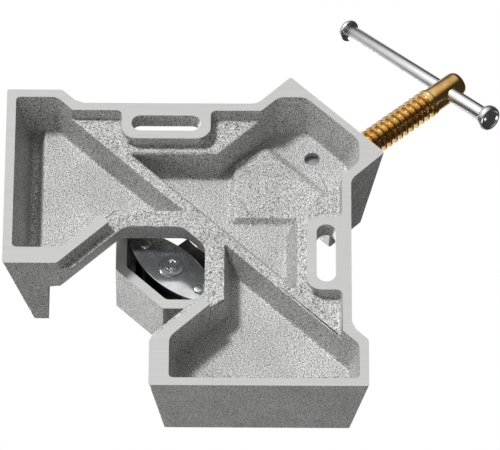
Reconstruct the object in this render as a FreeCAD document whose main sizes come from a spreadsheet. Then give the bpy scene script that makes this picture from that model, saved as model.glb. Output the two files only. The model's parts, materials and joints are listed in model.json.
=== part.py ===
import FreeCAD, Part
import math
import os

import Sketcher

# Corner clamp: a cast angle frame with two fences at 90 degrees, a V-shaped jaw that a
# screw drives into the corner along the diagonal, and a sliding tommy bar.
# Frame: the bench face is z = 0 and +Z is up. The two fence faces lie in the planes
# x = 0 and y = 0, so the origin is the workpiece corner at bench level, and the screw
# comes in along the diagonal from +X +Y.

os.makedirs("parts", exist_ok=True)
doc = FreeCAD.newDocument("corner_clamp")

SIZES = {
    # Levels above the bench
    "web_level": 6.5, "flange_height": 10, "floor_level": 23, "table_height": 27,
    "groove_level": 30, "fence_height": 64, "screw_height": 46,
    # Outline of the frame at the bench face
    "arm_end": 56.6, "arm_far": 175.6, "arm_corner": 6.3, "fence_foot": 24.3,
    "flange_edge": 166.5, "housing_half": 36.7, "housing_reach": 225.2, "housing_depth": 37.8,
    "table_edge": 144,
    # Draft angles of the casting, in degrees
    "fence_draft": 14, "end_draft": 6.9, "far_draft": 8.5, "side_draft": 6.6, "back_draft": 3,
    "pocket_draft": 15.5, "pocket_far_draft": 12.4, "pocket_end_draft": 10, "groove_draft": 16,
    "rib_draft": 11.2, "ring_draft": 13, "bar_draft": 6.6, "deep_draft": 19, "notch_draft": 17.8,
    # Underside: rims, ribs, pockets and the ring round the centre opening
    "rim": 5.1, "rim_end": 10.8, "flange_rim": 5, "rib_near": 122.9, "rib_far": 126.9,
    "ring_edge": 95.5, "bar_inner": 59.8, "bar_outer": 51.2, "bar_stop": 119, "groove_side": 3,
    "well_side": 139.1, "well_flank": 44.5, "well_setback": 14, "well_wall": 4.1,
    "ledge": 43.8, "hole_edge": 86.2, "hole_corner": 160, "notch_far": 80,
    "recess_reach": 117, "pad_rise": 3, "pad_draft": 45, "pad_near": 102.5,
    "pad_side": 139.5, "pad_far": 151, "pad_shoulder": 119.5,
    # Bench slots and the lands round them
    "slot_width": 10.5, "slot_length": 38.5, "slot_line": 152.7, "slot_centre": 64.3,
    "land_width": 5.4, "land_round": 8,
    # Housing and swivel nut
    "nut_setback": 19.6, "nut_radius": 13, "nut_floor": 30, "nut_height": 28.4, "fit_gap": 0.05,
    "passage_height": 18, "passage_half": 11.5, "pin_radius": 4.4, "pin_cover": 1.5,
    "pin_depth": 5, "nut_washer_thick": 1.5, "running_gap": 0.1,
    # Screw and its head, along the screw from the nut
    "rest_yaw": 4, "screw_radius": 8, "screw_nose": 82, "nose_radius": 5, "nose_length": 11,
    "neck_radius": 4, "neck_start": 3, "neck_width": 3.2, "head_start": 89.5,
    "head_length": 21.8, "head_radius": 7.2, "head_chamfer": 1.2, "bar_place": 100.3,
    # Tommy bar
    "bar_radius": 4.25, "bar_lean": 16.6, "bar_long": 84.6, "bar_short": 34.4,
    "knob_radius": 6.4, "knob_length": 5.4, "foot_radius": 7.2, "foot_length": 5,
    "spigot_radius": 3, "spigot_length": 3,
    # Jaw, its plates and its pivot
    "pivot_reach": 102.5, "jaw_bottom": 29.2, "jaw_height": 34.8, "jaw_face": 30.85,
    "jaw_tip": 26.3, "jaw_length": 70, "jaw_back": 14, "jaw_wall": 6, "tip_wall": 5.4,
    "jaw_roof": 4.5, "plate_inset": 3.3, "plate_thick": 3, "plate_half": 30.5,
    "plate_middle": 13, "plate_gap": 0.3, "rivet_spread": 21.3, "rivet_radius": 3,
    "rivet_head": 5, "rivet_rise": 1.8, "spacer_radius": 5.5, "axle_radius": 4.5,
    "axle_head": 4.6, "axle_rise": 2.2, "washer_radius": 6.9, "washer_thick": 1.2,
    "bush_wall": 1.5, "block_half": 10.5, "block_front": 11, "block_gap": 0.25,
    "keeper_radius": 1.5, "keeper_length": 20,
}

sheet = doc.addObject("Spreadsheet::Sheet", "Sheet")
for row, (alias, value) in enumerate(SIZES.items(), start=1):
    sheet.set(f"A{row}", alias)
    sheet.set(f"B{row}", str(value))
    sheet.setAlias(f"B{row}", alias)
doc.recompute()

# Levels and lengths that follow from the sizes
JAW_TOP = "(jaw_bottom + jaw_height)"
PLATE_LOW = "(jaw_bottom + plate_inset)"
PLATE_TOP = "(jaw_bottom + jaw_height - jaw_roof - plate_thick)"
BLOCK_LOW = f"({PLATE_LOW} + plate_thick + block_gap)"
BLOCK_TALL = f"({PLATE_TOP} - block_gap - {BLOCK_LOW})"
KEEPER_OUT = "(neck_radius + keeper_radius + running_gap)"
KEEPER_ALONG = "(screw_nose + neck_start + neck_width / 2)"
NUT_BOTTOM = "(nut_floor + nut_washer_thick + running_gap)"
PIN_RISE = f"(screw_height - screw_radius - pin_cover - {NUT_BOTTOM})"
HEAD_END = "(head_start + head_length)"
RIB_NEAR = "(rib_near * sqrt(2))"
RIB_FAR = "(rib_far * sqrt(2))"
BAR_RUN = "(bar_long + bar_short)"
HEADING = "(45 + rest_yaw)"
HOUSING_BACK = "(housing_reach - housing_depth)"
NUT_REACH = "(housing_reach - nut_setback)"
WELL_FAR = "((housing_reach + housing_half) / sqrt(2) - well_setback)"
WELL_NEAR = f"((housing_reach - well_wall) * sqrt(2) - {WELL_FAR})"
PLATE_TIP = "((jaw_face - jaw_wall) * sqrt(2) - plate_half - plate_gap)"
PLATE_BOW = f"(plate_middle - {PLATE_TIP})"
PLATE_ROUND = f"((plate_half ^ 2 + {PLATE_BOW} ^ 2) / (2 * {PLATE_BOW}))"


def named(text):
    """Turn plain names in a formula into references to the sheet."""
    words, out = "", ""
    for mark in text + " ":
        if mark.isalnum() or mark == "_":
            words += mark
            continue
        out += "Sheet." + words if words in SIZES else words
        out += mark
        words = ""
    return out.strip()


def new_body(name):
    return doc.addObject("PartDesign::Body", name)


def bind_place(item, x, y, z, *turns):
    """Tie a placement to the sheet: a point, then turns of (axis, angle) from first to last."""
    axes = {"x": "vector(1; 0; 0)", "y": "vector(0; 1; 0)", "z": "vector(0; 0; 1)"}
    spins = [f"rotation({axes[axis]}; {named(angle)})" for axis, angle in turns]
    rotation = " * ".join(spins) or "rotation(vector(0; 0; 1); 0)"
    spot = "; ".join(named(text) for text in (x, y, z))
    item.setExpression("Placement", f"placement(vector({spot}); {rotation})")


def origin_plane(body, role):
    return next(item for item in body.Origin.OriginFeatures if item.Role == role)


def outline(body, points, plane="XY_Plane", bows=()):
    """A closed outline whose corners are bound to the sheet. Sides in bows are (side, radius) arcs."""
    sketch = body.newObject("Sketcher::SketchObject", body.Name + "_outline")
    sketch.AttachmentSupport = (origin_plane(body, plane), [""])
    sketch.MapMode = "FlatFace"
    count = len(points)
    # The corners start on a circle, and the constraints carry them to their places
    corners = []
    for index in range(count):
        angle = 2 * math.pi * index / count
        corners.append(FreeCAD.Vector(20 * math.cos(angle), 20 * math.sin(angle), 0))
    start_round = Part.Circle(FreeCAD.Vector(0, 0, 0), FreeCAD.Vector(0, 0, 1), 20)
    bowed = dict(bows)
    for index in range(count):
        side = Part.LineSegment(corners[index], corners[(index + 1) % count])
        if index in bowed:
            turns = [2 * math.pi * step / count for step in (index, index + 1)]
            side = Part.ArcOfCircle(start_round, *turns)
        sketch.addGeometry(side, False)
    for index in range(count):
        following = (index + 1) % count
        sketch.addConstraint(Sketcher.Constraint("Coincident", index, 2, following, 1))
    for index, (x, y) in enumerate(points):
        start = corners[index]
        for kind, text, seed in (("DistanceX", x, start.x), ("DistanceY", y, start.y)):
            number = sketch.addConstraint(Sketcher.Constraint(kind, -1, 1, index, 1, seed))
            sketch.setExpression(f"Constraints[{number}]", named(text))
    for index, text in bowed.items():
        number = sketch.addConstraint(Sketcher.Constraint("Radius", index, 20))
        sketch.setExpression(f"Constraints[{number}]", named(text))
    return sketch


def pad(body, sketch, length, reverse=False, feature="PartDesign::Pad"):
    made = body.newObject(feature, body.Name + "_" + feature.split("::")[1].lower())
    made.Profile = sketch
    made.setExpression("Length", named(length))
    made.Reversed = reverse
    return made


def wall_face(shape, middle):
    """Name of the upright face that stands on a point of the foot outline."""
    spot = Part.Vertex(middle)
    for number, face in enumerate(shape.Faces, start=1):
        upright = abs(face.normalAt(0, 0).z) < 0.99
        if upright and face.distToShape(spot)[0] < 1e-5:
            return f"Face{number}"
    raise RuntimeError("no wall stands there")


def foot_face(shape):
    for number, face in enumerate(shape.Faces, start=1):
        if abs(face.normalAt(0, 0).z) > 0.99 and abs(face.CenterOfMass.z) < 1e-5:
            return f"Face{number}"
    raise RuntimeError("no foot face")


def drafted_block(name, points, height, drafts, flare=False):
    """An upright block whose walls lean inward, or outward for a flare, by groups of edges."""
    body = new_body(name)
    sketch = outline(body, points)
    last = pad(body, sketch, height)
    doc.recompute()
    middles = [(edge.StartPoint + edge.EndPoint) * 0.5 for edge in sketch.Geometry]
    for angle, edges in drafts.items():
        lean = body.newObject("PartDesign::Draft", name + "_draft")
        lean.Base = (last, [wall_face(last.Shape, middles[edge]) for edge in edges])
        lean.NeutralPlane = (last, [foot_face(last.Shape)])
        lean.setExpression("Angle", named(angle))
        lean.Reversed = flare
        doc.recompute()
        last = lean
    return body


def mirrored(name, source):
    """The same piece on the other side of the diagonal plane."""
    copy = doc.addObject("Part::Mirroring", name)
    copy.Source = source
    copy.Base = FreeCAD.Vector(0, 0, 0)
    copy.Normal = FreeCAD.Vector(1, -1, 0)
    return copy


def fused(name, pieces):
    joined = doc.addObject("Part::MultiFuse", name)
    joined.Shapes = pieces
    return joined


def cut(name, base, tool):
    made = doc.addObject("Part::Cut", name)
    made.Base = base
    made.Tool = tool
    return made


def cut_in_turn(name, base, tools):
    """Take each tool out of the base, one after the other, under one final name."""
    for number, tool in enumerate(tools, start=1):
        last = number == len(tools)
        base = cut(name if last else f"{name}_stage_{number}", base, tool)
    return base


def box(name, corner, lengths, *turns):
    made = doc.addObject("Part::Box", name)
    bind_place(made, *corner, *turns)
    for side, text in zip(("Length", "Width", "Height"), lengths):
        made.setExpression(side, named(text))
    return made


def cylinder(name, centre, radius, height, *turns):
    made = doc.addObject("Part::Cylinder", name)
    bind_place(made, *centre, *turns)
    made.setExpression("Radius", named(radius))
    made.setExpression("Height", named(height))
    return made


def turned(name, profile):
    """A piece turned round its own z axis from a profile of (radius, height) corners."""
    body = new_body(name)
    sketch = outline(body, profile, "XZ_Plane")
    spin = body.newObject("PartDesign::Revolution", name + "_turning")
    spin.Profile = sketch
    spin.ReferenceAxis = (sketch, ["V_Axis"])
    spin.Angle = 360
    return body


def round_hole(body, across, up, radius):
    """A round hole right through a body, square to its base plane."""
    sketch = body.newObject("Sketcher::SketchObject", body.Name + "_circle")
    sketch.AttachmentSupport = (origin_plane(body, "XY_Plane"), [""])
    sketch.MapMode = "FlatFace"
    sketch.addGeometry(Part.Circle(FreeCAD.Vector(1, 1, 0), FreeCAD.Vector(0, 0, 1), 1), False)
    rules = (
        (Sketcher.Constraint("DistanceX", -1, 1, 0, 3, 1), across),
        (Sketcher.Constraint("DistanceY", -1, 1, 0, 3, 1), up),
        (Sketcher.Constraint("Radius", 0, 1), radius),
    )
    for rule, text in rules:
        number = sketch.addConstraint(rule)
        sketch.setExpression(f"Constraints[{number}]", named(text))
    hole = body.newObject("PartDesign::Pocket", body.Name + "_hole")
    hole.Profile = sketch
    hole.Type = "ThroughAll"
    hole.SideType = "Symmetric"
    return hole


def drilling(body, name, radius, length, x, y, z, *turns):
    """A cylinder taken out of a body, from a point along the turned z axis."""
    tool = body.newObject("PartDesign::SubtractiveCylinder", name)
    tool.setExpression("Radius", named(radius))
    tool.setExpression("Height", named(length))
    bind_place(tool, x, y, z, *turns)
    return tool


def place_on_screw(item, along, across, height, *turns):
    """Along the screw from the nut, across to its left, and up from the bench."""
    x = f"{NUT_REACH} / sqrt(2) + ({along}) * cos({HEADING}) - ({across}) * sin({HEADING})"
    y = f"{NUT_REACH} / sqrt(2) + ({along}) * sin({HEADING}) + ({across}) * cos({HEADING})"
    bind_place(item, x, y, height, ("z", HEADING), *turns)


def place_on_jaw(item, across, height, turn="45"):
    """Across the jaw from its pivot, square to the clamp's diagonal, and up."""
    x = f"{NUT_REACH} / sqrt(2) - pivot_reach * cos({HEADING}) - ({across}) / sqrt(2)"
    y = f"{NUT_REACH} / sqrt(2) - pivot_reach * sin({HEADING}) + ({across}) / sqrt(2)"
    bind_place(item, x, y, height, ("z", turn))


def on_diagonal(reach, side):
    """Corner at a distance along the diagonal and a distance to its right."""
    return f"(({reach}) + ({side})) / sqrt(2)", f"(({reach}) - ({side})) / sqrt(2)"


def arm_and_fence():
    """One arm: the outline of table and fence in one, cleared behind the fence face."""
    shoulder = "arm_corner + arm_far"
    rib_corner = "(hole_edge + 24)"
    rib_outer = f"{RIB_FAR} - {rib_corner}"
    tower = drafted_block("arm_tower", [
        ("arm_end", "-fence_foot"), ("arm_far", "-fence_foot"), ("arm_far", "arm_corner"),
        ("flange_edge", f"{shoulder} - flange_edge"), (rib_corner, rib_outer), ("arm_end", rib_outer),
    ], "fence_height", {"fence_draft": [0], "far_draft": [1, 2, 3], "end_draft": [5]})
    clearing = box("table_clearing", ("0", "0", "table_height"),
                   ("2 * arm_far", "2 * arm_far", "fence_height"))
    arm = cut("arm", tower, clearing)
    flange = drafted_block("flange_block", [
        ("flange_edge", "arm_corner"), ("flange_edge", "flange_edge - housing_half * sqrt(2) + 10"),
        ("table_edge - 14", "table_edge - 4 - housing_half * sqrt(2)"),
        ("table_edge - 14", "arm_corner"),
    ], "flange_height", {"far_draft": [0]})
    return fused("half_frame", [arm, flange])


def table_and_housing():
    """The middle of the frame and the housing, cleared in front of the housing's back."""
    rib_end = f"{RIB_FAR} - table_edge + 2.5"
    flank = "table_edge - housing_half * sqrt(2)"
    tower = drafted_block("housing_tower", [
        ("table_edge", rib_end), ("table_edge", flank),
        on_diagonal("housing_reach", "housing_half"),
        on_diagonal("housing_reach", "-housing_half"),
        (flank, "table_edge"), (rib_end, "table_edge"), ("hole_edge - 26", "hole_edge - 26"),
    ], "fence_height", {"far_draft": [0, 2, 4], "side_draft": [1, 3]})
    clearing = new_body("housing_clearing")
    lean = "tan(back_draft)"
    sketch = outline(clearing, [
        ("0", "table_height"), (f"{HOUSING_BACK} + table_height * {lean}", "table_height"),
        (f"{HOUSING_BACK} + 2 * fence_height * {lean}", "2 * fence_height"),
        ("0", "2 * fence_height"),
    ], "XZ_Plane")
    sweep = pad(clearing, sketch, "4 * table_edge")
    sweep.SideType = "Symmetric"
    bind_place(clearing, "0", "0", "0", ("z", "45"))
    return cut("table_and_housing", tower, clearing)


def frame_solids():
    """The outer form of the casting, before the pockets are cut."""
    half = arm_and_fence()
    return fused("frame_outer", [half, mirrored("other_half_frame", half), table_and_housing()])


def underside_pockets():
    """Everything cored out of the underside of the frame."""
    arm_pocket = drafted_block("arm_pocket", [
        ("arm_end + rim_end", "rim - fence_foot"), ("arm_far - rim", "rim - fence_foot"),
        ("arm_far - rim", f"{RIB_NEAR} - arm_far + rim"), ("ring_edge", f"{RIB_NEAR} - ring_edge"),
        ("ring_edge", "ring_edge - bar_inner"), ("arm_end + rim_end", "arm_end + rim_end - bar_inner"),
    ], "floor_level", {"pocket_draft": [0], "pocket_far_draft": [1], "rib_draft": [2],
                       "ring_draft": [3], "bar_draft": [4], "pocket_end_draft": [5]})
    groove = drafted_block("fence_groove", [
        ("arm_end + rim_end", "rim - fence_foot"), ("arm_far - rim", "rim - fence_foot"),
        ("arm_far - rim", "groove_side"), ("arm_end + rim_end", "groove_side"),
    ], "groove_level", {"pocket_draft": [0], "pocket_far_draft": [1], "groove_draft": [2],
                        "pocket_end_draft": [3]})
    half = fused("half_pockets", [arm_pocket, groove])
    well = drafted_block("housing_well", [
        ("well_side", f"{RIB_FAR} - well_side"), ("well_side", "well_side - well_flank"),
        (WELL_FAR, f"{WELL_FAR} - well_flank"), (WELL_FAR, WELL_NEAR),
        (WELL_NEAR, WELL_FAR), (f"{WELL_FAR} - well_flank", WELL_FAR),
        ("well_side - well_flank", "well_side"), (f"{RIB_FAR} - well_side", "well_side"),
    ], "floor_level", {"deep_draft": [0, 6], "rib_draft": [1, 5, 7], "pocket_draft": [2, 4],
                       "pocket_far_draft": [3]})
    inside = "(flange_edge - flange_rim)"
    recess = drafted_block("web_recess", [
        (inside, f"{RIB_NEAR} - {inside}"), (inside, "recess_reach"), ("recess_reach", inside),
        (f"{RIB_NEAR} - {inside}", inside),
        ("rib_near / sqrt(2) - bar_inner / 2", "rib_near / sqrt(2) + bar_inner / 2"),
        ("bar_stop / 2 - bar_inner / 2", "bar_stop / 2 + bar_inner / 2"),
        ("bar_stop / 2 + bar_inner / 2", "bar_stop / 2 - bar_inner / 2"),
        ("rib_near / sqrt(2) + bar_inner / 2", "rib_near / sqrt(2) - bar_inner / 2"),
    ], "web_level", {"pocket_end_draft": [0, 2]})
    return [half, mirrored("other_half_pockets", half), well, recess]


def corner_opening():
    """The gap between the arms: stepped at the ledge, and flaring upward above it."""
    low = drafted_block("opening_below_ledge", [
        ("bar_outer / 2 - notch_far / 2", "-bar_outer / 2 - notch_far / 2"),
        ("bar_stop / 2 + bar_outer / 2", "bar_stop / 2 - bar_outer / 2"),
        ("bar_stop / 2 - bar_outer / 2", "bar_stop / 2 + bar_outer / 2"),
        ("-bar_outer / 2 - notch_far / 2", "bar_outer / 2 - notch_far / 2"),
    ], "web_level", {})
    high = drafted_block("opening_above_ledge", [
        ("ledge / 2 - notch_far / 2", "-ledge / 2 - notch_far / 2"),
        ("hole_edge", "hole_edge - ledge"), ("hole_edge", "hole_corner - hole_edge"),
        ("hole_corner - hole_edge", "hole_edge"), ("hole_edge - ledge", "hole_edge"),
        ("-ledge / 2 - notch_far / 2", "ledge / 2 - notch_far / 2"),
    ], "table_height - web_level + 3", {"notch_draft": [0, 1, 2, 3, 4]}, flare=True)
    bind_place(high, "0", "0", "web_level")
    return [low, high]


def raised_pad():
    """The plain raised pad in the middle of the well, with sloping sides."""
    body = drafted_block("raised_pad", [
        ("pad_near", "pad_near"), ("pad_side", "pad_near"), ("pad_far", "pad_shoulder"),
        ("pad_shoulder", "pad_far"), ("pad_near", "pad_side"),
    ], "pad_rise + 0.5", {"pad_draft": [0, 1, 2, 3, 4]}, flare=True)
    bind_place(body, "0", "0", "floor_level - pad_rise")
    return body


def slot_land():
    """Thick land round a bench slot, level with the bench face."""
    body = new_body("slot_land")
    inner = "slot_line - slot_width / 2 - land_width"
    outer = "flange_edge - flange_rim / 2"
    start = "slot_centre - slot_length / 2 - land_width"
    stop = "slot_centre + slot_length / 2 + land_width"
    sketch = outline(body, [(inner, start), (outer, start), (outer, stop), (inner, stop)])
    block = pad(body, sketch, "web_level + 1")
    doc.recompute()
    left = min(block.Shape.Vertexes, key=lambda corner: corner.X).X
    names = []
    for number, edge in enumerate(block.Shape.Edges, start=1):
        upright = abs(edge.tangentAt(edge.FirstParameter).z) > 0.99
        if upright and edge.CenterOfMass.x - left < 0.01:
            names.append(f"Edge{number}")
    rounded = body.newObject("PartDesign::Fillet", "slot_land_corners")
    rounded.Base = (block, names)
    rounded.setExpression("Radius", named("land_round"))
    return body


def bench_slot():
    """A straight slot with round ends, right through the flange."""
    tall = "flange_height + 2"
    start = "slot_centre - slot_length / 2 + slot_width / 2"
    stop = "slot_centre + slot_length / 2 - slot_width / 2"
    return fused("bench_slot", [
        box("slot_run", ("slot_line - slot_width / 2", start, "-1"),
            ("slot_width", "slot_length - slot_width", tall)),
        cylinder("slot_start", ("slot_line", start, "-1"), "slot_width / 2", tall),
        cylinder("slot_stop", ("slot_line", stop, "-1"), "slot_width / 2", tall),
    ])


def nut_seat():
    """The bore for the swivel nut, its pivot hole, and the passage for the screw."""
    centre = (f"{NUT_REACH} / sqrt(2)", f"{NUT_REACH} / sqrt(2)")
    bore = cylinder("nut_bore", (*centre, "nut_floor"), "nut_radius + fit_gap", "fence_height")
    hole = cylinder("pin_hole", (*centre, "floor_level - 1"), "pin_radius + fit_gap",
                    "nut_floor - floor_level + 2")
    side = "(passage_half - passage_height / 2)"
    length = "housing_depth + 16"
    corner = on_diagonal(f"{HOUSING_BACK} - 8", side)
    middle = box("passage_middle", (*corner, "screw_height - passage_height / 2"),
                 (length, f"2 * {side}", "passage_height"), ("z", "45"))
    ends = []
    for name, offset in (("passage_right", side), ("passage_left", f"-{side}")):
        spot = (*on_diagonal(f"{HOUSING_BACK} - 8", offset), "screw_height")
        ends.append(cylinder(name, spot, "passage_height / 2", length, ("z", "45"), ("y", "90")))
    return [bore, hole, middle] + ends


def clamp_frame():
    """The casting: outer form, cores, lands and pad, then the machined openings."""
    hollow = cut_in_turn("frame_hollowed", frame_solids(), underside_pockets() + corner_opening())
    land = slot_land()
    lands = fused("frame_with_lands", [hollow, land, mirrored("other_slot_land", land), raised_pad()])
    slot = bench_slot()
    return cut_in_turn("clamp_frame", lands, [slot, mirrored("other_bench_slot", slot)] + nut_seat())


def moving_jaw():
    """A V-shaped shell, open below and behind, with a plain top."""
    body = new_body("moving_jaw")
    near, far = "-jaw_face", "(jaw_length - jaw_face)"
    sketch = outline(body, [
        ("jaw_tip - jaw_face", near), (far, near), (far, "jaw_back - jaw_face"),
        ("jaw_back - jaw_face", far), (near, far), (near, "jaw_tip - jaw_face"),
    ])
    pad(body, sketch, "jaw_height")
    doc.recompute()
    inside = "(jaw_wall - jaw_face)"
    tip = f"(jaw_tip - 2 * jaw_face + tip_wall * sqrt(2) - {inside})"
    beyond = f"{far} + jaw_wall"
    hollow = outline(body, [
        (tip, inside), (f"{far} - jaw_wall", inside), (f"{far} - jaw_wall", beyond),
        (inside, beyond), (inside, tip),
    ])
    pad(body, hollow, "jaw_height - jaw_roof", reverse=True, feature="PartDesign::Pocket")
    spread = "rivet_spread / sqrt(2)"
    for across, up, radius in (("0", "0", "axle_radius"), (spread, f"-{spread}", "rivet_radius"),
                               (f"-{spread}", spread, "rivet_radius")):
        round_hole(body, across, up, radius)
    place_on_jaw(body, "0", "jaw_bottom", "0")
    return body


def jaw_plate(name, bottom):
    """Boat-shaped plate across the jaw, with holes for the axle and the two rivets."""
    body = new_body(name)
    sketch = outline(body, [
        (PLATE_TIP, "-plate_half"), (PLATE_TIP, "plate_half"),
        (f"-{PLATE_TIP}", "plate_half"), (f"-{PLATE_TIP}", "-plate_half"),
    ], bows=((0, PLATE_ROUND), (2, PLATE_ROUND)))
    pad(body, sketch, "plate_thick")
    doc.recompute()
    for across, radius in (("0", "axle_radius"), ("rivet_spread", "rivet_radius"),
                           ("-rivet_spread", "rivet_radius")):
        round_hole(body, "0", across, radius)
    place_on_jaw(body, "0", bottom)
    return body


def headed(name, radius, head, rise, grip):
    """A rivet standing on its lower seat: a shank between two low cone heads."""
    return turned(name, [
        ("0", f"-{rise}"), (f"{head} * 0.7", f"-{rise}"), (head, "0"), (radius, "0"),
        (radius, grip), (head, grip), (f"{head} * 0.7", f"{grip} + {rise}"),
        ("0", f"{grip} + {rise}"),
    ])


def ring(name, inner, outer, height):
    return turned(name, [(inner, "0"), (outer, "0"), (outer, height), (inner, height)])


def jaw_set():
    """The jaw with the plates, rivets, spacers, washers and axle that hang on it."""
    pieces = [moving_jaw(), jaw_plate("jaw_plate_lower", PLATE_LOW), jaw_plate("jaw_plate_upper", PLATE_TOP)]
    for side, offset in (("left", "rivet_spread"), ("right", "-rivet_spread")):
        rivet = headed("plate_rivet_" + side, "rivet_radius", "rivet_head", "rivet_rise",
                       f"({JAW_TOP} - {PLATE_LOW})")
        place_on_jaw(rivet, offset, PLATE_LOW)
        spacer = ring("plate_spacer_" + side, "rivet_radius", "spacer_radius",
                      f"{PLATE_TOP} - {PLATE_LOW} - plate_thick")
        place_on_jaw(spacer, offset, f"{PLATE_LOW} + plate_thick")
        pieces += [rivet, spacer]
    axle = headed("pivot_axle", "axle_radius", "axle_head", "axle_rise",
                  f"({JAW_TOP} - {PLATE_LOW} + 2 * washer_thick)")
    place_on_jaw(axle, "0", f"{PLATE_LOW} - washer_thick")
    pieces.append(axle)
    for name, height in (("pivot_washer_lower", f"{PLATE_LOW} - washer_thick"),
                         ("pivot_washer_upper", JAW_TOP)):
        washer = ring(name, "axle_radius", "washer_radius", "washer_thick")
        place_on_jaw(washer, "0", height)
        pieces.append(washer)
    return pieces


def block_set():
    """The block that turns on the axle and holds the screw's nose, its bush and keeper pins."""
    block = new_body("swivel_block")
    rear = "(pivot_reach - screw_nose - block_gap)"
    sketch = outline(block, [
        ("-block_front", "-block_half * 0.5"), ("-block_front * 0.5", "-block_half"),
        (rear, "-block_half"), (rear, "block_half"),
        ("-block_front * 0.5", "block_half"), ("-block_front", "block_half * 0.5"),
    ])
    pad(block, sketch, BLOCK_TALL)
    doc.recompute()
    round_hole(block, "0", "0", "axle_radius + bush_wall")
    level = f"screw_height - {BLOCK_LOW}"
    drilling(block, "nose_socket", "nose_radius + running_gap", "nose_length + 1",
             "pivot_reach - screw_nose - nose_length - running_gap", "0", level, ("y", "90"))
    for side in ("1", "-1"):
        drilling(block, "keeper_drilling", "keeper_radius", f"{BLOCK_TALL} + 2",
                 f"pivot_reach - {KEEPER_ALONG}", f"{side} * {KEEPER_OUT}", "-1")
    place_on_screw(block, "-pivot_reach", "0", BLOCK_LOW)
    bush = ring("pivot_bush", "axle_radius + fit_gap", "axle_radius + bush_wall", BLOCK_TALL)
    place_on_screw(bush, "-pivot_reach", "0", BLOCK_LOW)
    pieces = [block, bush]
    for name, side in (("keeper_pin_left", "1"), ("keeper_pin_right", "-1")):
        pin = turned(name, [("0", "0"), ("keeper_radius", "0"), ("keeper_radius", "keeper_length"),
                            ("0", "keeper_length")])
        place_on_screw(pin, f"-{KEEPER_ALONG}", f"{side} * {KEEPER_OUT}",
                       "screw_height - keeper_length / 2")
        pieces.append(pin)
    return pieces


def clamp_screw():
    """The screw at its outer diameter, with the necked nose and the drilled head."""
    body = turned("clamp_screw", [
        ("0", "-screw_nose - nose_length"), ("nose_radius - 0.8", "-screw_nose - nose_length"),
        ("nose_radius", "-screw_nose - nose_length + 0.8"),
        ("nose_radius", "-screw_nose - neck_start - neck_width"),
        ("neck_radius", "-screw_nose - neck_start - neck_width"),
        ("neck_radius", "-screw_nose - neck_start"), ("nose_radius", "-screw_nose - neck_start"),
        ("nose_radius", "-screw_nose"), ("screw_radius - 2", "-screw_nose"),
        ("screw_radius", "-screw_nose + 2"), ("screw_radius", "head_start - 0.8"),
        ("head_radius", "head_start"), ("head_radius", f"{HEAD_END} - head_chamfer"),
        ("head_radius - head_chamfer", HEAD_END), ("0", HEAD_END),
    ])
    doc.recompute()
    drilling(body, "bar_hole", "bar_radius + running_gap", "4 * head_radius",
             "0", "2 * head_radius", "bar_place", ("x", "90"))
    place_on_screw(body, "0", "0", "screw_height", ("y", "90"), ("z", "-bar_lean"))
    return body


def place_on_bar(item, start):
    """A distance along the tommy bar from the screw, on the bar's leaning line."""
    place_on_screw(item, "bar_place", f"({start}) * cos(bar_lean)",
                   f"screw_height - ({start}) * sin(bar_lean)", ("x", "-90 - bar_lean"))


def tommy_bar():
    """The bar and the two knobs pressed on its ends."""
    bar = turned("tommy_bar", [
        ("0", "-spigot_length"), ("spigot_radius", "-spigot_length"), ("spigot_radius", "0"),
        ("bar_radius", "0"), ("bar_radius", BAR_RUN), ("spigot_radius", BAR_RUN),
        ("spigot_radius", f"{BAR_RUN} + spigot_length"), ("0", f"{BAR_RUN} + spigot_length"),
    ])
    place_on_bar(bar, "-bar_long")
    knob = turned("bar_knob_upper", [
        ("0", "-knob_length"), ("knob_radius * 0.6", "-knob_length"),
        ("knob_radius", "-knob_length * 0.5"), ("knob_radius", "0"), ("spigot_radius", "0"),
        ("spigot_radius", "-spigot_length"),
        ("0", "-spigot_length"),
    ])
    place_on_bar(knob, "-bar_long")
    foot = turned("bar_knob_lower", [
        ("spigot_radius", "0"), ("foot_radius", "0"), ("foot_radius", "foot_length * 0.8"),
        ("foot_radius * 0.85", "foot_length"), ("foot_radius * 0.6", "foot_length"),
        ("foot_radius * 0.6", "foot_length * 0.85"), ("0", "foot_length * 0.85"),
        ("0", "spigot_length"), ("spigot_radius", "spigot_length"),
    ])
    place_on_bar(foot, "bar_short")
    return [bar, knob, foot]


def nut_set():
    """The round nut that swivels in the housing, its pivot pin and its washer."""
    body = turned("swivel_nut", [
        ("pin_radius", "0"), ("nut_radius", "0"), ("nut_radius", "nut_height"), ("0", "nut_height"),
        ("0", PIN_RISE), ("pin_radius", PIN_RISE),
    ])
    doc.recompute()
    drilling(body, "screw_bore", "screw_radius + fit_gap", "4 * nut_radius",
             "-2 * nut_radius", "0", f"screw_height - {NUT_BOTTOM}", ("y", "90"))
    place_on_screw(body, "0", "0", NUT_BOTTOM)
    pin = turned("nut_pivot_pin", [
        ("0", "-pin_depth"), ("pin_radius", "-pin_depth"),
        ("pin_radius", PIN_RISE), ("0", PIN_RISE),
    ])
    place_on_screw(pin, "0", "0", NUT_BOTTOM)
    washer = ring("nut_thrust_washer", "pin_radius + 0.2", "nut_radius - 0.6", "nut_washer_thick")
    place_on_screw(washer, "0", "0", "nut_floor")
    return [body, pin, washer]


def volume_before(item):
    """Volume of what a cutting feature starts from, or None for any other feature."""
    if item.TypeId == "Part::Cut":
        return item.Base.Shape.Volume
    if item.TypeId == "PartDesign::Pocket" or item.TypeId.startswith("PartDesign::Subtractive"):
        return item.BaseFeature.Shape.Volume
    return None


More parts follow.
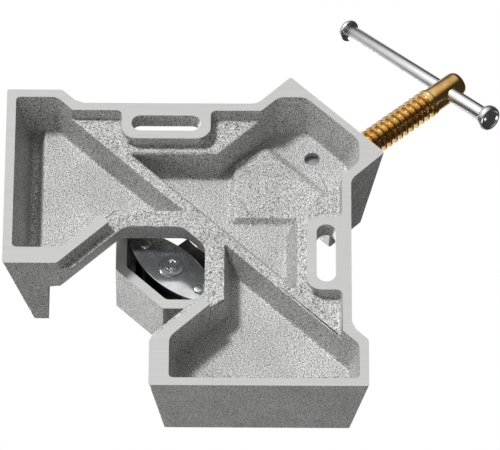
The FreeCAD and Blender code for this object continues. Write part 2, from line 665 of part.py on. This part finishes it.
def write_parts(pieces):
    """Check every object of the document, then write one file per sub-part."""
    doc.recompute()
    for item in doc.Objects:
        if {"Invalid", "Error"} & set(item.State):
            raise RuntimeError("failed object: " + item.Name)
        before = volume_before(item)
        if before is not None and not 0 < item.Shape.Volume < before - 1:
            raise RuntimeError("cut removed nothing: " + item.Name)
    for piece in pieces:
        shape = piece.Shape
        if shape.isNull() or not shape.isValid() or len(shape.Solids) != 1:
            raise RuntimeError("bad shape: " + piece.Name)
        piece.Label = piece.Name
        shape.exportStep("parts/" + piece.Label + ".step")
        reach = shape.BoundBox
        corners = (reach.XMin, reach.YMin, reach.ZMin, reach.XMax, reach.YMax, reach.ZMax)
        print(piece.Label, round(shape.Volume), [round(value, 1) for value in corners])


write_parts([clamp_frame()] + jaw_set() + block_set() + [clamp_screw()] + tommy_bar() + nut_set())
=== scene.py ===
"""A corner clamp: cast aluminium frame and jaw, yellow-plated screw, bright steel tommy bar.

The bench face is z = 0 and the workpiece corner is the origin. Lengths are in metres.
"""

import json
import math

import bmesh
import bpy
import numpy as np
from mathutils import Euler, Matrix, Vector


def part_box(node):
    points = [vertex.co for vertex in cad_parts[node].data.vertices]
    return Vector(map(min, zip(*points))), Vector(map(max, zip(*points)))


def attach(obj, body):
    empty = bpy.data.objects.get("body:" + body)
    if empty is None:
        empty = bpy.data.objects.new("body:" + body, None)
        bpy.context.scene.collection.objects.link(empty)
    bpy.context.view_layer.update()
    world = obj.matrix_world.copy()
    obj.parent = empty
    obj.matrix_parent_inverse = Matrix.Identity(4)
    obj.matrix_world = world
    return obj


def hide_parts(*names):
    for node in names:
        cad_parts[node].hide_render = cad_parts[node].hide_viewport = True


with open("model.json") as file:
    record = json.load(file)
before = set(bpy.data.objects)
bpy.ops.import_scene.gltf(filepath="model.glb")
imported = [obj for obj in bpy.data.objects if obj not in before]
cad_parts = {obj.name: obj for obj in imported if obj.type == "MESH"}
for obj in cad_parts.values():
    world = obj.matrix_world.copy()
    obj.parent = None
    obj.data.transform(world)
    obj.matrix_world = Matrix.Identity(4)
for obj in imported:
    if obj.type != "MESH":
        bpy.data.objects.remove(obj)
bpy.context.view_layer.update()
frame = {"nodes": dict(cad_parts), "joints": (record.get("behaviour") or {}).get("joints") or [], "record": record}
NODES = frame["nodes"]
JOINTS = {joint["name"]: joint for joint in frame["joints"]}
MM = 0.001


# Materials

def srgb(code):
    """An sRGB hex value as a linear colour."""
    parts = [int(code[i:i + 2], 16) / 255 for i in (0, 2, 4)]
    return [p / 12.92 if p <= 0.04045 else ((p + 0.055) / 1.055) ** 2.4 for p in parts] + [1.0]


def add(tree, kind, inputs, stops=(), **settings):
    """Add one node with its settings, its inputs as values or links, and a ramp's stops as (place, hex)."""
    node = tree.nodes.new(kind)
    for key, value in settings.items():
        setattr(node, key, value)
    for key, value in inputs.items():
        if isinstance(value, bpy.types.NodeSocket):
            tree.links.new(value, node.inputs[key])
        else:
            node.inputs[key].default_value = value
    while stops and len(node.color_ramp.elements) < len(stops):
        node.color_ramp.elements.new(0.5)
    for index, (place, code) in enumerate(stops):
        node.color_ramp.elements[index].position = place
        node.color_ramp.elements[index].color = srgb(code)
    return node.outputs


def new_material(name):
    """A material with no nodes but the Object coordinates that its patterns read."""
    made = bpy.data.materials.new(name)
    made.use_nodes = True
    made.node_tree.nodes.clear()
    return made, made.node_tree, add(made.node_tree, "ShaderNodeTexCoord", {})["Object"]


def per_mm(size):
    """Noise scale for grains of a size in millimetres."""
    return 1000 / size


def sand_cast_aluminium(name, painted_pit_shade="545453", grain="CFCFCE", painted_glint="FAFAF9", ground_z=0.0):
    """Aluminium poured in sand: a matt skin of fine grains, with painted shade as dark pits and painted glints as
    bright points between them.

    The face at ground_z is machined, which leaves it flat and even, with faint straight lines. The
    grain is drawn at 0.62 mm, coarser than the real skin, so that it shows.
    """
    made, tree, where = new_material(name)
    fine = add(tree, "ShaderNodeTexNoise", {"Vector": where, "Scale": per_mm(0.62), "Detail": 1.0,
                                            "Roughness": 0.5})["Fac"]
    coarse = add(tree, "ShaderNodeTexNoise", {"Vector": where, "Scale": per_mm(2.6), "Detail": 1.0})["Fac"]
    cloud = add(tree, "ShaderNodeTexNoise", {"Vector": where, "Scale": per_mm(30), "Detail": 3.0})["Fac"]
    # The dark and bright stops paint light into the colour: painted shade in the pits and painted highlights on
    # the grains
    skin = add(tree, "ShaderNodeValToRGB", {"Fac": fine},
               [(0.36, painted_pit_shade), (0.47, grain), (0.56, grain), (0.66, painted_glint)])["Color"]
    veil = add(tree, "ShaderNodeValToRGB", {"Fac": cloud}, [(0.3, "DADADA"), (0.7, "FFFFFF")])["Color"]
    skin = add(tree, "ShaderNodeMix", {0: 0.6, 6: skin, 7: veil}, data_type="RGBA", blend_type="MULTIPLY")[2]
    # 1 on the machined face and 0 off it
    level = add(tree, "ShaderNodeSeparateXYZ", {"Vector": where})["Z"]
    machined = add(tree, "ShaderNodeMath", {0: level, 1: ground_z, 2: 0.05 * MM}, operation="COMPARE")[0]
    along = add(tree, "ShaderNodeMapping", {"Vector": where,
                                            "Scale": (per_mm(0.8), per_mm(40), 1.0)})["Vector"]
    lay = add(tree, "ShaderNodeTexNoise", {"Vector": along, "Scale": 1.0, "Detail": 2.0})["Fac"]
    flat = add(tree, "ShaderNodeValToRGB", {"Fac": lay}, [(0.35, "C2C2C1"), (0.65, "C8C8C7")])["Color"]
    colour = add(tree, "ShaderNodeMix", {0: machined, 6: skin, 7: flat}, data_type="RGBA")[2]
    polish = add(tree, "ShaderNodeMix", {0: machined, 2: 0.62, 3: 0.55})[0]
    rough = add(tree, "ShaderNodeMath", {0: coarse, 1: 0.6, 2: fine}, operation="MULTIPLY_ADD")[0]
    relief = add(tree, "ShaderNodeMix", {0: machined, 2: rough, 3: lay})[0]
    strength = add(tree, "ShaderNodeMix", {0: machined, 2: 0.9, 3: 0.03})[0]
    bump = add(tree, "ShaderNodeBump", {"Height": relief, "Strength": strength,
                                        "Distance": 0.32 * MM})["Normal"]
    shader = add(tree, "ShaderNodeBsdfPrincipled", {"Base Color": colour, "Roughness": polish,
                                                    "Metallic": 0.3, "Normal": bump})["BSDF"]
    add(tree, "ShaderNodeOutputMaterial", {"Surface": shader})
    return made


def turned_metal(name, colour, shade, metallic, roughness, wear=6.0):
    """Metal turned in a lathe or drawn: nearly even, with faint tool marks and cloudy wear in its polish.

    The wear's clouds are given in millimetres. The tool marks are drawn at 0.6 mm, coarser than the
    real ones, so that they show.
    """
    made, tree, where = new_material(name)
    cloud = add(tree, "ShaderNodeTexNoise", {"Vector": where, "Scale": per_mm(wear), "Detail": 4.0})["Fac"]
    tooling = add(tree, "ShaderNodeTexNoise", {"Vector": where, "Scale": per_mm(0.6), "Detail": 2.0})["Fac"]
    colours = add(tree, "ShaderNodeValToRGB", {"Fac": cloud}, [(0.3, shade), (0.7, colour)])["Color"]
    polish = add(tree, "ShaderNodeMapRange", {"Value": cloud, "From Min": 0.3, "From Max": 0.7,
                                             "To Min": roughness * 1.25, "To Max": roughness * 0.8})["Result"]
    bump = add(tree, "ShaderNodeBump", {"Height": tooling, "Strength": 0.08,
                                        "Distance": 0.05 * MM})["Normal"]
    shader = add(tree, "ShaderNodeBsdfPrincipled", {"Base Color": colours, "Roughness": polish,
                                                    "Metallic": metallic, "Normal": bump})["BSDF"]
    add(tree, "ShaderNodeOutputMaterial", {"Surface": shader})
    return made


FINISH = {
    # Sand-cast aluminium: grey skin with painted glints and painted pit shade in its colour, even grey where the
    # bench face is ground
    "casting": sand_cast_aluminium("sand_cast_aluminium"),
    # The same metal, painted a darker grey as painted shade for the shade that the jaw lies in
    "jaw_casting": sand_cast_aluminium("jaw_cast_aluminium_painted_shade", "4A4A49", "9C9C9B", "D0D0CF",
                                       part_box("moving_jaw")[0].z),
    # Yellow-chromated zinc plate: pale gold where it catches light, brown in shade
    "plated_screw": turned_metal("yellow_plated_steel", "ECC681", "C8964E", 1.0, 0.13),
    # Bright drawn steel: mirrors its surroundings softly
    "bar_steel": turned_metal("bright_drawn_steel", "DEDEDF", "C6C6C8", 1.0, 0.26),
    # Zinc plate on pressed steel: bluish white and slightly cloudy
    "plate_zinc": turned_metal("zinc_plated_steel", "E2E4E6", "C4C6CA", 1.0, 0.13, 9.0),
    # Headed steel, bright from the tool
    "rivet_steel": turned_metal("bright_rivet_steel", "D6D6D8", "BEBEC1", 1.0, 0.18),
    # Plain pressed steel: grey and half bright
    "washer_steel": turned_metal("plain_washer_steel", "C6C6C8", "ABABAE", 1.0, 0.26),
    # Turned steel left as it came off the lathe
    "nut_steel": turned_metal("turned_nut_steel", "A6A6A8", "8E8E91", 1.0, 0.32),
    # Oiled black steel: dark, with a dull sheen
    "block_steel": turned_metal("oiled_block_steel", "4C4C4E", "343436", 0.9, 0.38),
    # Sintered bronze: brown and matt from its pores
    "bush_bronze": turned_metal("sintered_bronze", "B08A52", "8F6C3E", 1.0, 0.42),
}


def finish(piece, slot):
    """Give a piece the material for its slot in the record."""
    piece.data.materials.clear()
    piece.data.materials.append(FINISH[slot])
    return piece


# Surfaces

def smooth_by_angle(mesh, degrees=35):
    """Smooth shading, with edges sharper than the angle kept crisp."""
    mesh.polygons.foreach_set("use_smooth", np.ones(len(mesh.polygons), bool))
    mesh.set_sharp_from_angle(angle=math.radians(degrees))


def new_piece(name, points, faces):
    """A piece from an array of points, in metres, and a list of faces."""
    mesh = bpy.data.meshes.new(name)
    mesh.from_pydata(points.tolist(), [], faces)
    mesh.validate()
    mesh.update()
    piece = bpy.data.objects.new(name, mesh)
    bpy.context.scene.collection.objects.link(piece)
    return piece


def soften(piece, width, segments=2, weights=False):
    """Round the piece's edges to a width in millimetres, each by its own weight where asked."""
    bevel = piece.modifiers.new("edges", "BEVEL")
    bevel.width = width * MM
    bevel.segments = segments
    bevel.limit_method = "WEIGHT" if weights else "ANGLE"
    bevel.angle_limit = math.radians(30)
    bevel.use_clamp_overlap = not weights
    bevel.miter_outer = "MITER_ARC"


def axes_about(axis, lean):
    """The axis and two more unit vectors square to it, the first of them as near as can be to lean."""
    axis = np.array(axis, float) / np.linalg.norm(axis)
    first = np.array(lean, float)
    first = first - axis * (first @ axis)
    first = first / np.linalg.norm(first)
    return axis, first, np.cross(axis, first)


def revolved(name, stations, radii, start, axis, lean=(0, 0, 1)):
    """A closed surface of revolution.

    Point (i, j) is start + axis * stations[i] + radii[i, j] * (first * cos(turn j) +
    second * sin(turn j)). The first and last rows shrink to poles, so the surface closes.
    """
    stations = np.asarray(stations, float)
    radii = np.asarray(radii, float)
    if radii.ndim == 1:
        radii = np.repeat(radii[:, None], 64, axis=1)
    rows, count = radii.shape
    axis, first, second = axes_about(axis, lean)
    turn = np.linspace(0, 2 * np.pi, count, endpoint=False)
    ring = np.cos(turn)[:, None] * first + np.sin(turn)[:, None] * second
    body = np.array(start) + stations[:, None, None] * axis + radii[:, :, None] * ring[None]
    inner = body[1:-1].reshape(-1, 3)
    poles = np.array([body[0, 0], body[-1, 0]])
    points = np.concatenate([inner, poles])
    i = np.arange(rows - 3)[:, None] * count
    j = np.arange(count)[None]
    k = (j + 1) % count
    quads = np.stack([i + j, i + k, i + count + k, i + count + j], axis=-1).reshape(-1, 4)
    last = (rows - 3) * count
    flat = np.arange(count)
    low = np.stack([np.full(count, len(inner)), (flat + 1) % count, flat], axis=-1)
    high = np.stack([np.full(count, len(inner) + 1), last + flat, last + (flat + 1) % count], axis=-1)
    piece = new_piece(name, points, quads.tolist() + low.tolist() + high.tolist())
    smooth_by_angle(piece.data)
    return piece


def lathe(name, profile, start, axis, lean=(0, 0, 1)):
    """A turned piece from (station, radius) pairs in millimetres, from pole to pole."""
    profile = np.array(profile, float) * MM
    return revolved(name, profile[:, 0], profile[:, 1], start, axis, lean)


def merged_copy(name, node):
    """A copy of a CAD node with its loose triangles joined and its flat faces made whole."""
    mesh = NODES[node].data.copy()
    shell = bmesh.new()
    shell.from_mesh(mesh)
    bmesh.ops.remove_doubles(shell, verts=shell.verts, dist=1e-6)
    bmesh.ops.dissolve_limit(shell, angle_limit=math.radians(0.6), verts=shell.verts, edges=shell.edges)
    shell.to_mesh(mesh)
    shell.free()
    mesh.name = name
    piece = bpy.data.objects.new(name, mesh)
    bpy.context.scene.collection.objects.link(piece)
    return piece


def settle(piece):
    """Make the piece's modifiers part of its mesh."""
    bpy.context.view_layer.update()
    mesh = bpy.data.meshes.new_from_object(piece.evaluated_get(bpy.context.evaluated_depsgraph_get()))
    piece.modifiers.clear()
    old = piece.data
    piece.data = mesh
    bpy.data.meshes.remove(old)
    mesh.name = piece.name


def cut_by(piece, tool):
    """Take the tool's shape out of the piece, then remove the tool."""
    change = piece.modifiers.new("cut", "BOOLEAN")
    change.operation = "DIFFERENCE"
    change.solver = "EXACT"
    change.object = tool
    settle(piece)
    bpy.data.objects.remove(tool)
    smooth_by_angle(piece.data)


# Casting and jaw

# Shares of a casting's edge width: for hollow and outer corners that run up a wall, and for the rest
HOLLOW_SHARE = 1.0
OUTER_SHARE = 0.35
LEVEL_SHARE = 0.5
# What is left of the share where two faces turn by more than a sharp turn, in degrees
SHARP_TURN = 100
SHARP_KEEPS = 0.4
# Shorter edges, in millimetres, belong to bores, and faces that turn less, in degrees, count as one
BORE_EDGE = 2.5
FLAT_TURN = 8
# The share of a neighbour's length that an edge may take, and how often runs of edges are evened out
ROOM = 0.45
EVENING_PASSES = 40


def weigh_edges(piece, width, ground_planes, plain=()):
    """Bevel weights by where an edge lies, as shares of a width in millimetres.

    Edges in a machined plane, given as (axis number, place), edges of bores, edges between faces
    nearly in one plane, and edges inside a plain box stay sharp. No edge takes more than the room
    beside it, and edges that run on into each other take the same share.
    """
    shell = bmesh.new()
    shell.from_mesh(piece.data)
    # The trims can leave edges of no length
    bmesh.ops.dissolve_degenerate(shell, edges=shell.edges, dist=0.01 * MM)
    layer = shell.edges.layers.float.new("bevel_weight_edge")
    for edge in shell.edges:
        a, b = (np.array(corner.co) for corner in edge.verts)
        run = b - a
        long = np.linalg.norm(run)
        bend = edge.calc_face_angle(0)
        if long < BORE_EDGE * MM or len(edge.link_faces) != 2 or bend < math.radians(FLAT_TURN):
            continue
        if any((np.minimum(a, b) > low).all() and (np.maximum(a, b) < high).all() for low, high in plain):
            continue
        upright = abs(run[2]) >= 0.8 * long
        edge[layer] = LEVEL_SHARE if not upright else OUTER_SHARE if edge.is_convex else HOLLOW_SHARE
        if bend > math.radians(SHARP_TURN):
            edge[layer] *= SHARP_KEEPS
        for axis, place in ground_planes:
            if max(abs(a[axis] - place), abs(b[axis] - place)) < 0.02 * MM:
                edge[layer] = 0.0
    # Pairs of edges at a corner, with the sine and cosine of the turn between them
    pairs = []
    for corner in shell.verts:
        for edge in corner.link_edges:
            for other in corner.link_edges:
                if edge != other and edge[layer] > 0:
                    turn = edge.other_vert(corner).co - corner.co
                    turn = turn.angle(other.other_vert(corner).co - corner.co)
                    pairs.append((edge, other, math.sin(turn), math.cos(turn)))
    for edge, other, sine, cosine in pairs:
        if sine > 0.25 and any(face in other.link_faces for face in edge.link_faces):
            edge[layer] = min(edge[layer], ROOM * other.calc_length() * sine / (width * MM))
    for _ in range(EVENING_PASSES):
        for edge, other, sine, cosine in pairs:
            if cosine < -0.75 and other[layer] > 0:
                edge[layer] = other[layer] = min(edge[layer], other[layer])
    shell.to_mesh(piece.data)
    shell.free()


def cast_edges(piece, width, ground_planes, plain=()):
    """Round a casting's edges, and let its big faces keep their own normals."""
    weigh_edges(piece, width, ground_planes, plain)
    soften(piece, width, 3, weights=True)
    settle(piece)
    smooth_by_angle(piece.data, 32)
    normals = piece.modifiers.new("flat_faces", "WEIGHTED_NORMAL")
    normals.keep_sharp = True
    normals.weight = 100


def prism(name, corners, low, high):
    """An upright prism: a ring of flat corners at the low level joined to the same ring at the high one."""
    corners = np.array(corners, float) * MM
    count = len(corners)
    rings = [np.column_stack([corners, np.full(count, level * MM)]) for level in (low, high)]
    sides = [[i, (i + 1) % count, count + (i + 1) % count, count + i] for i in range(count)]
    ends = [list(range(count))[::-1], list(range(count, 2 * count))]
    return new_piece(name, np.concatenate(rings), sides + ends)


def diagonal_strip(name, sums, gaps, low, high, twin):
    """A prism between two values of x + y and two of x - y, in millimetres, or of y - x for the twin."""
    corners = [((s + g) / 2, (s - g) / 2) for s, g in
               ((sums[0], gaps[0]), (sums[0], gaps[1]), (sums[1], gaps[1]), (sums[1], gaps[0]))]
    if twin:
        corners = [(y, x) for x, y in corners][::-1]
    return prism(name, corners, low, high)


MOUNTS = {mount["name"]: np.array(mount["pos_m"]) for mount in frame["record"]["mounts"]}
nut_place = np.array(JOINTS["screw_turn"]["pos_m"])
# Boxes round the two slots, the nut's bore and its pin's hole, each a middle and a half size in millimetres
BORE_BOXES = ((MOUNTS["bench_slot_y"], (6, 20, 12)),
              (MOUNTS["bench_slot_x"], (20, 6, 12)),
              (nut_place + (0, 0, 0.001), (26, 26, 16.5)),
              (nut_place * (1, 1, 0.58), (6, 6, 6)))
bores = [(middle - np.array(half) * MM, middle + np.array(half) * MM) for middle, half in BORE_BOXES]

# The web meets the arm pockets at its own level, so each fin beside it is cut away up to there. A fin
# lies between two values of x + y and two of x - y, in millimetres
WEB_LEVEL = 6.5
BELOW_BENCH = -1
RIB_FIN = ((171.4, 174.2), (59.2, 148.6))
BAR_FIN = ((119.0, 134.4), (59.2, 61.2))

casting = merged_copy("frame_casting", "clamp_frame")
for twin in (False, True):
    cut_by(casting, diagonal_strip("rib_trim", *RIB_FIN, BELOW_BENCH, WEB_LEVEL, twin))
    cut_by(casting, diagonal_strip("bar_trim", *BAR_FIN, BELOW_BENCH, WEB_LEVEL, twin))
cast_edges(casting, 3.0, [(2, 0.0), (0, 0.0), (1, 0.0)], bores)
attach(finish(casting, "casting"), "frame")
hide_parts("clamp_frame")

jaw = merged_copy("jaw_casting", "moving_jaw")
jaw_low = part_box("moving_jaw")[0]
cast_edges(jaw, 1.5, [(2, jaw_low.z), (0, jaw_low.x), (1, jaw_low.y)])
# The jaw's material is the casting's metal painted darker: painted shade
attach(finish(jaw, "jaw_casting"), "jaw")
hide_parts("moving_jaw")


# Screw

outward = -np.array(JOINTS["screw_turn"]["axis"])
bar_axis = np.array(JOINTS["bar_slide"]["axis"])

# All in millimetres, with stations measured outward from the nut
PITCH = 4.0
CREST = 8.0
DEPTH = 2.0
THREAD_FROM = -80.0
THREAD_TO = 87.6
BAR_HOLE = 100.3

ROWS_PER_TURN = 14


def thread_depth(station, turn):
    """How far the groove goes in, from 0 on a crest to 1 at the root.

    The phase is station / pitch less turn / full circle, so that the groove climbs a right-hand
    helix. A raised cosine, steepened and clipped, gives crest and root flats joined by flanks.
    """
    phase = station / PITCH - turn / (2 * np.pi)
    wave = np.cos(2 * np.pi * phase) * 1.5
    return np.clip(0.5 + wave * 0.5, 0, 1)


def screw_surface():
    """The whole screw as one surface: nose and neck, thread, and the plain head.

    The radius at a station and a turn is the outline's, less the depth times thread_depth there.
    """
    ends = [(-93.0, 0.0), (-93.0, 4.3), (-92.3, 5.0), (-88.3, 5.0), (-88.2, 4.0), (-85.1, 4.0), (-85.0, 5.0),
            (-82.1, 5.0), (-82.0, 6.0), (-80.4, 7.9)]
    head = [(88.6, 7.9), (89.3, 7.25), (107.6, 7.2), (109.2, 6.75), (110.4, 5.9), (111.1, 4.6), (111.3, 2.6),
            (111.3, 0.0)]
    along = np.arange(THREAD_FROM, THREAD_TO, PITCH / ROWS_PER_TURN)
    stations = np.concatenate([[s for s, _ in ends], along, [s for s, _ in head]])
    base = np.concatenate([[r for _, r in ends], np.full(len(along), CREST), [r for _, r in head]])
    turn = np.linspace(0, 2 * np.pi, 64, endpoint=False)
    # The groove fades in and out over one pitch at each end of the thread
    fade = np.clip(np.minimum(stations - THREAD_FROM, THREAD_TO - stations) / PITCH, 0, 1)
    radii = base[:, None] - DEPTH * fade[:, None] * thread_depth(stations[:, None], turn[None])
    return revolved("screw", stations * MM, radii * MM, nut_place, outward)


screw = screw_surface()
head_middle = nut_place + outward * BAR_HOLE * MM
hole = lathe("bar_hole_tool", [(-12, 0), (-12, 4.32), (12, 4.32), (12, 0)], head_middle, bar_axis)
cut_by(screw, hole)
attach(finish(screw, "plated_screw"), "screw")
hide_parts("clamp_screw")


# Tommy bar

bar = lathe("tommy_bar_rod", [(-84.9, 0), (-84.9, 4.1), (-84.6, 4.25), (34.4, 4.25), (34.7, 4.1), (34.7, 0)],
            head_middle, bar_axis)
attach(finish(bar, "bar_steel"), "handle")
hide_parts("tommy_bar")

# Upper knob: a mushroom dome, with a small collar against the bar
dome = [(-90.0, 0.0), (-89.95, 1.4), (-89.6, 2.9), (-88.9, 4.2), (-87.8, 5.4), (-86.5, 6.15), (-85.4, 6.4),
        (-84.7, 6.15), (-84.4, 5.5), (-84.4, 0.0)]
upper = lathe("bar_dome_knob", dome, head_middle, bar_axis)
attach(finish(upper, "bar_steel"), "handle")
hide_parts("bar_knob_upper")

# Lower knob: a thick disc whose end is dished round the staked end of the bar
dish = [(34.45, 0.0), (34.45, 6.0), (34.8, 6.7), (35.6, 7.15), (37.6, 7.2), (38.8, 6.9), (39.35, 6.3),
        (39.3, 5.7), (38.5, 5.1), (38.0, 4.4), (37.9, 3.6), (38.5, 3.0), (38.9, 2.3), (39.0, 1.2),
        (39.0, 0.0)]
lower = lathe("bar_dished_knob", dish, head_middle, bar_axis)
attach(finish(lower, "bar_steel"), "handle")
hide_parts("bar_knob_lower")


# Jaw plates, rivets and washers

UP = np.array([0.0, 0.0, 1.0])
DIAGONAL = np.array([1.0, 1.0, 0.0]) / math.sqrt(2)
ACROSS = np.array([-1.0, 1.0, 0.0]) / math.sqrt(2)

for side in ("lower", "upper"):
    plate = merged_copy("boat_plate_" + side, "jaw_plate_" + side)
    soften(plate, 0.45)
    smooth_by_angle(plate.data, 25)
    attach(finish(plate, "plate_zinc"), "jaw")
    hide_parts("jaw_plate_" + side)

# Outlines of a head, as shares of its radius and of its rise
FLAT_HEAD = [(0.0, 1.0), (0.55, 0.98), (0.8, 0.86), (0.93, 0.58), (1.0, 0.12)]
# The axle's end is staked: a dished middle, a raised ring and a groove round it
STAKED_HEAD = [(0.0, 0.35), (0.3, 0.4), (0.38, 0.85), (0.5, 1.0), (0.64, 1.0), (0.72, 0.8),
               (0.78, 0.42), (0.88, 0.45), (0.95, 0.35), (1.0, 0.1)]


def headed_pin(name, node, cap, foot, top, shank, head, rise):
    """A rivet: a shank between two heads, each its cap's outline turned round, over a short rim.

    The foot and the top, where the shank ends, are in metres, and the shank's and the head's radius and
    the rise of a head in millimetres.
    """
    low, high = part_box(node)
    middle = (low + high) / 2
    start, end = foot / MM, top / MM
    profile = [(start - lift * rise, head * share) for share, lift in cap]
    profile += [(start, head * 0.985), (start, shank), (end, shank), (end, head * 0.985)]
    profile += [(end + lift * rise, head * share) for share, lift in reversed(cap)]
    return lathe(name, profile, (middle.x, middle.y, 0), UP, DIAGONAL)


plate_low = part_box("jaw_plate_lower")[0].z
jaw_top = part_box("moving_jaw")[1].z
for side in ("left", "right"):
    rivet = headed_pin("rivet_" + side, "plate_rivet_" + side, FLAT_HEAD, plate_low, jaw_top,
                       shank=2.4, head=3.2, rise=0.9)
    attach(finish(rivet, "rivet_steel"), "jaw")
    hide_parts("plate_rivet_" + side)

washer_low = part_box("pivot_washer_lower")[0].z
washer_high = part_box("pivot_washer_upper")[1].z
axle = headed_pin("jaw_axle", "pivot_axle", STAKED_HEAD, washer_low, washer_high,
                  shank=4.3, head=4.6, rise=1.9)
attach(finish(axle, "rivet_steel"), "jaw")
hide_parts("pivot_axle")


def stepped_washer(name, node, face_down):
    """A washer with a turned groove in its open face.

    Point (i, j) is the middle + UP * height i + radius i * (DIAGONAL * cos(turn j) + ACROSS * sin(turn j)).
    Both the outline and the turns close on themselves, so the bore stays open.
    """
    low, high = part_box(node)
    rows = [(0, 4.45), (0, 5.05), (0.28, 5.25), (0.28, 5.65), (0, 5.85), (0, 6.6), (0.3, 6.9), (0.95, 6.9),
            (1.2, 6.7), (1.2, 4.45)]
    rows = np.array(rows, float)
    if not face_down:
        rows[:, 0] = rows[:, 0].max() - rows[:, 0]
        rows = rows[::-1]
    count = 96
    turn = np.linspace(0, 2 * np.pi, count, endpoint=False)
    ring = np.cos(turn)[:, None] * DIAGONAL + np.sin(turn)[:, None] * ACROSS
    middle = np.array([(low.x + high.x) / 2, (low.y + high.y) / 2, low.z])
    points = middle + rows[:, 0, None, None] * MM * UP + rows[:, 1, None, None] * MM * ring[None]
    total = len(rows)
    i = np.arange(total)[:, None]
    j = np.arange(count)[None]
    after, beside = (i + 1) % total, (j + 1) % count
    quads = np.stack([i * count + j, i * count + beside, after * count + beside, after * count + j], axis=-1)
    piece = new_piece(name, points.reshape(-1, 3), quads.reshape(-1, 4).tolist())
    smooth_by_angle(piece.data)
    return piece


for side, down in (("lower", True), ("upper", False)):
    washer = stepped_washer("grooved_washer_" + side, "pivot_washer_" + side, down)
    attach(finish(washer, "washer_steel"), "jaw")
    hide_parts("pivot_washer_" + side)


# Block and nut

for name, node, slot, body, radius in (
        ("nose_block", "swivel_block", "block_steel", "carrier", 0.7),
        ("round_nut", "swivel_nut", "nut_steel", "nut", 0.4)):
    piece = merged_copy(name, node)
    soften(piece, radius)
    smooth_by_angle(piece.data)
    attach(finish(piece, slot), body)
    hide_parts(node)

# Every other solid shows as it is, in its own finish
SLOT_OF = {entry["node"]: entry["material_slot"] for entry in frame["record"]["subparts"]}
for name, node in NODES.items():
    if not node.hide_render:
        finish(node, SLOT_OF[name])
        smooth_by_angle(node.data)


# Floor, light and camera

def bench():
    """A wide pale bench under the clamp, seen only from above."""
    size = 60.0
    corners = np.array([[-size, -size, 0], [size, -size, 0], [size, size, 0], [-size, size, 0]])
    piece = new_piece("bench_top", corners - np.array([0, 0, 0.02 * MM]), [[0, 1, 2, 3]])
    made, tree, where = new_material("pale_bench")
    grain = add(tree, "ShaderNodeTexNoise", {"Vector": where, "Scale": 6.0, "Detail": 3.0})["Fac"]
    colour = add(tree, "ShaderNodeValToRGB", {"Fac": grain}, [(0.3, "ECECEA"), (0.7, "F1F1EF")])["Color"]
    board = add(tree, "ShaderNodeBsdfPrincipled", {"Base Color": colour, "Roughness": 0.9})["BSDF"]
    # The photograph looks up from under the bench face, so the bench is clear from below
    clear = add(tree, "ShaderNodeBsdfTransparent", {})["BSDF"]
    under = add(tree, "ShaderNodeNewGeometry", {})["Backfacing"]
    both = add(tree, "ShaderNodeMixShader", {0: under, 1: board, 2: clear})[0]
    add(tree, "ShaderNodeOutputMaterial", {"Surface": both})
    piece.data.materials.append(made)
    piece.visible_shadow = False
    piece.visible_diffuse = False
    piece.visible_glossy = False


def sun(name, source, strength, spread):
    """A soft distant lamp that shines from a direction, as wide as its spread in degrees."""
    lamp = bpy.data.lights.new(name, "SUN")
    lamp.energy = strength
    lamp.angle = math.radians(spread)
    holder = bpy.data.objects.new(name, lamp)
    holder.rotation_mode = "QUATERNION"
    holder.rotation_quaternion = Vector(source).to_track_quat("Z", "Y")
    bpy.context.scene.collection.objects.link(holder)


# Directions that the light comes from
UNDER_KEY = (0.32, -0.46, -0.83)
UNDER_FILL = (-0.95, -0.10, -0.16)
TOP_KEY = (0.30, -0.45, 0.84)


def studio():
    """Pale surroundings: even for matt surfaces, and with bright and dim sides for metal."""
    world = bpy.data.worlds.new("studio")
    bpy.context.scene.world = world
    world.use_nodes = True
    tree = world.node_tree
    tree.nodes.clear()
    direction = add(tree, "ShaderNodeTexCoord", {})["Generated"]
    sides = [add(tree, "ShaderNodeVectorMath", {0: direction, 1: Vector(key).normalized()},
                 operation="DOT_PRODUCT")["Value"] for key in (UNDER_KEY, TOP_KEY)]
    nearest = add(tree, "ShaderNodeMath", {0: sides[0], 1: sides[1]}, operation="MAXIMUM")[0]
    softbox = add(tree, "ShaderNodeMapRange", {"Value": nearest, "From Min": 0.35, "From Max": 0.85,
                                               "To Min": 0.06, "To Max": 1.0},
                  interpolation_type="SMOOTHSTEP")["Result"]
    path = add(tree, "ShaderNodeLightPath", {})
    level = add(tree, "ShaderNodeMix", {0: path["Is Glossy Ray"], 2: 0.12, 3: softbox})[0]
    level = add(tree, "ShaderNodeMix", {0: path["Is Camera Ray"], 2: level, 3: 1.0})[0]
    light = add(tree, "ShaderNodeBackground", {"Color": (1, 1, 1, 1), "Strength": level})["Background"]
    add(tree, "ShaderNodeOutputWorld", {"Surface": light})


# The lens and the sensor's width in millimetres, the camera's place in metres, and its turns about X, Y
# and Z in degrees
LENS = 481.883
SENSOR = 36
CAMERA_PLACE = (-2.08841, 0.10652, -2.9544)
CAMERA_TURNS = (-143.6873, 0.2335, 89.7995)


def camera():
    """A long lens from under the clamp's -X side, as the photograph was taken."""
    data = bpy.data.cameras.new("camera")
    data.lens = LENS
    data.sensor_width = SENSOR
    data.clip_start = 0.1
    data.clip_end = 200
    holder = bpy.data.objects.new("camera", data)
    turn = Euler([math.radians(turn) for turn in CAMERA_TURNS]).to_matrix().to_4x4()
    holder.matrix_world = Matrix.Translation(CAMERA_PLACE) @ turn
    bpy.context.scene.collection.objects.link(holder)
    bpy.context.scene.camera = holder


bench()
sun("under_key", UNDER_KEY, strength=2.6, spread=10)
sun("under_fill", UNDER_FILL, strength=0.6, spread=30)
sun("top_key", TOP_KEY, strength=2.5, spread=14)
studio()
camera()
bpy.context.scene.view_settings.view_transform = "Standard"
